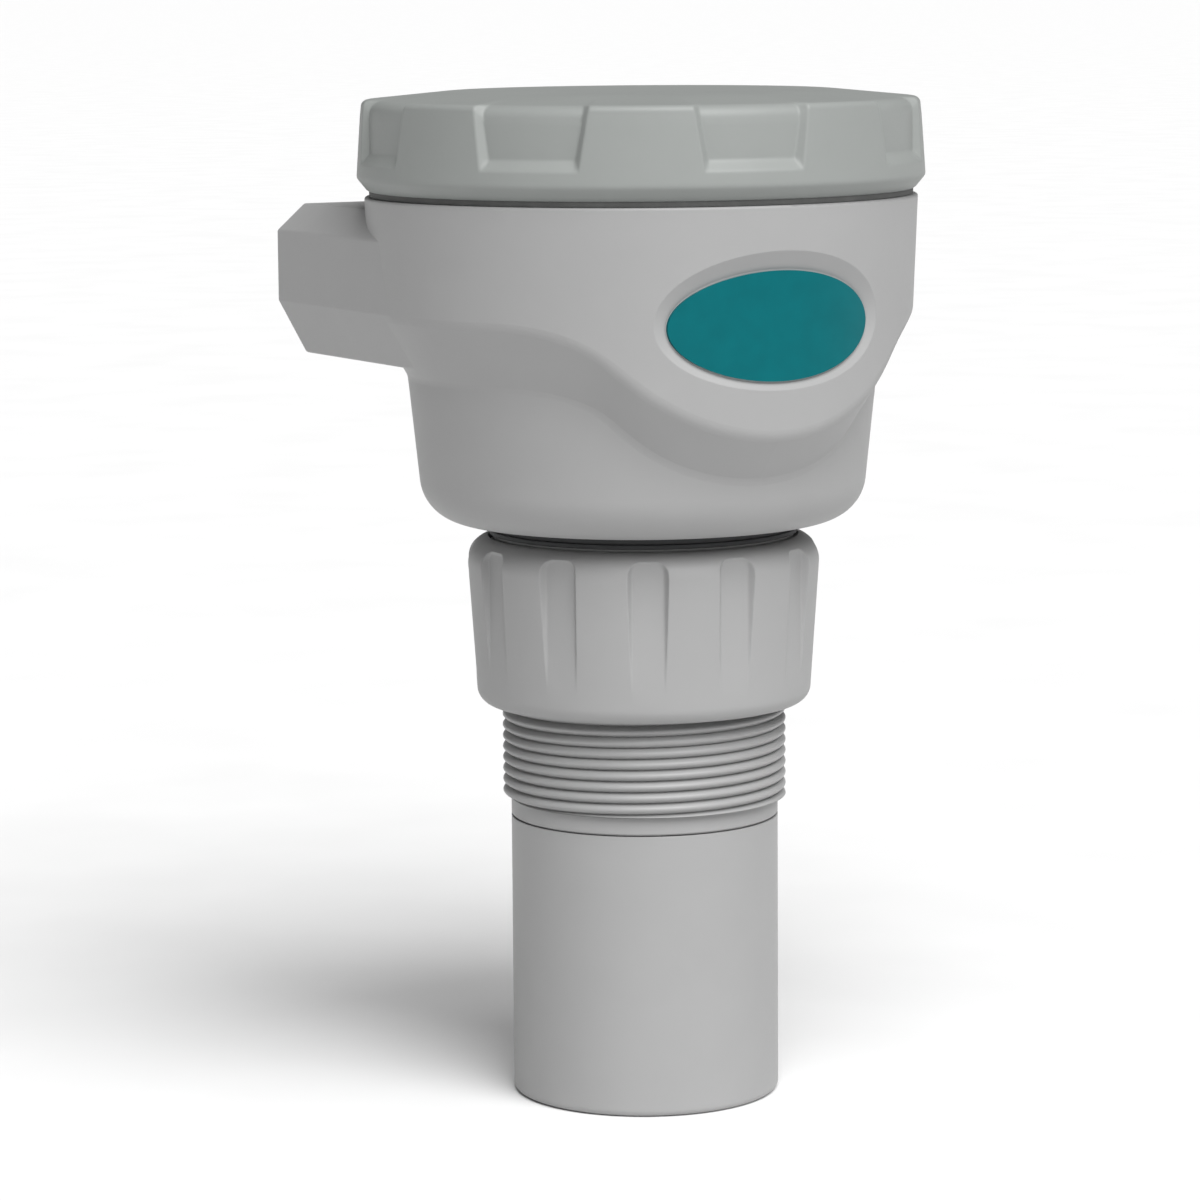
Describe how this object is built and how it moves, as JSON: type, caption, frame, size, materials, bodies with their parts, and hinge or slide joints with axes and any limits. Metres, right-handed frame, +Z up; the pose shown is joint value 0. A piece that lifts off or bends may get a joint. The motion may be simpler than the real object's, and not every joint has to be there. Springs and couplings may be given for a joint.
{
  "type": "ultrasonic level transmitter",
  "caption": "Ultrasonic level transmitter: round screw-lid head with two rear conduit bosses on a hand nut, a threaded process connection and a smooth sensor tube.",
  "frame": {"origin": "centre of the flat sensor face at the foot of the tube", "axes": "+Z up the common axis from the sensor face to the lid, -Y towards the label, +Y towards the conduit entries"},
  "size_m": [0.1178, 0.1178, 0.2107],
  "materials": {
    "housing_plastic": "fine satin moulded surface",
    "lid_plastic": "fine satin moulded surface, slightly greenish",
    "nut_plastic": "fine satin moulded surface",
    "tube_plastic": "satin turned plastic",
    "teal_label": "printed satin film",
    "black_rubber": "matt moulded rubber",
    "black_plastic": "matt moulded",
    "dark_plastic": "matt moulded",
    "circuit_board": "solder resist",
    "nickel_brass": "nickel-plated",
    "steel_screw": "zinc-plated",
    "display_glass": "display window",
    "button_rubber": "matt moulded rubber",
    "terminal_plastic": "matt moulded",
    "epoxy_layer": "cast",
    "ceramic": "silvered ceramic",
    "grey_foam": "closed-cell foam",
    "lead_jacket": "cable jacket",
    "bead_epoxy": "glazed bead",
    "potting_resin": "cast resin",
    "contact_metal": "gold-flashed"
  },
  "bodies": {
    "sensor": {"transducer_cup": "tube_plastic", "matching_layer": "epoxy_layer", "piezo_disc": "ceramic", "damping_ring": "black_rubber", "backing_foam": "grey_foam", "sensor_lead": "lead_jacket", "temperature_sensor": "bead_epoxy", "potting": "potting_resin", "sensor_plug": "contact_metal", "process_connection": "tube_plastic"},
    "gasket": {"union_gasket": "black_rubber"},
    "nut": {"union_nut": "nut_plastic"},
    "head": {"housing": "housing_plastic", "dust_seal": "black_rubber", "label_plate": "teal_label", "contact_socket": "black_plastic", "main_board": "circuit_board", "board_spacers": "nickel_brass", "power_board": "circuit_board", "electronics_deck": "black_plastic", "deck_screws": "steel_screw", "display_module": "dark_plastic", "display_window": "display_glass", "terminal_block": "terminal_plastic", "terminal_screws": "steel_screw"},
    "lid_seal": {"lid_gasket": "black_rubber"},
    "lid": {"lid": "lid_plastic"},
    "key_1": {"button_1": "button_rubber"},
    "key_2": {"button_2": "button_rubber"},
    "key_3": {"button_3": "button_rubber"},
    "key_4": {"button_4": "button_rubber"}
  },
  "joints": [
    {"name": "head_swivel", "type": "hinge", "parent": "sensor", "child": "gasket", "pos_m": [0, 0, 0.108], "axis": [0, 0, 1], "range_deg": [-175, 175]},
    {"name": "nut_turn", "type": "hinge", "parent": "gasket", "child": "nut", "pos_m": [0, 0, 0.1], "axis": [0, 0, -1], "range_deg": [0, 1440]},
    {"name": "head_lift", "type": "slide", "parent": "gasket", "child": "head", "axis": [0, 0, 1], "range_m": [0, 0.012]},
    {"name": "lid_lift", "type": "slide", "parent": "head", "child": "lid_seal", "axis": [0, 0, 1], "range_m": [0, 0.016]},
    {"name": "lid_turn", "type": "hinge", "parent": "lid_seal", "child": "lid", "pos_m": [0, 0, 0.2], "axis": [0, 0, 1], "range_deg": [0, 1440]},
    {"name": "key_1_press", "type": "slide", "parent": "head", "child": "key_1", "axis": [0, 0, -1], "range_m": [0, 0.0006], "stiffness_N_per_m": 800, "springref_m": -0.0006},
    {"name": "key_2_press", "type": "slide", "parent": "head", "child": "key_2", "axis": [0, 0, -1], "range_m": [0, 0.0006], "stiffness_N_per_m": 800, "springref_m": -0.0006},
    {"name": "key_3_press", "type": "slide", "parent": "head", "child": "key_3", "axis": [0, 0, -1], "range_m": [0, 0.0006], "stiffness_N_per_m": 800, "springref_m": -0.0006},
    {"name": "key_4_press", "type": "slide", "parent": "head", "child": "key_4", "axis": [0, 0, -1], "range_m": [0, 0.0006], "stiffness_N_per_m": 800, "springref_m": -0.0006}
  ],
  "couplings": [
    {"joint": "nut_turn", "follows": "head_lift", "rad_per_m": 2094.4},
    {"joint": "lid_turn", "follows": "lid_lift", "rad_per_m": 1570.8}
  ]
}
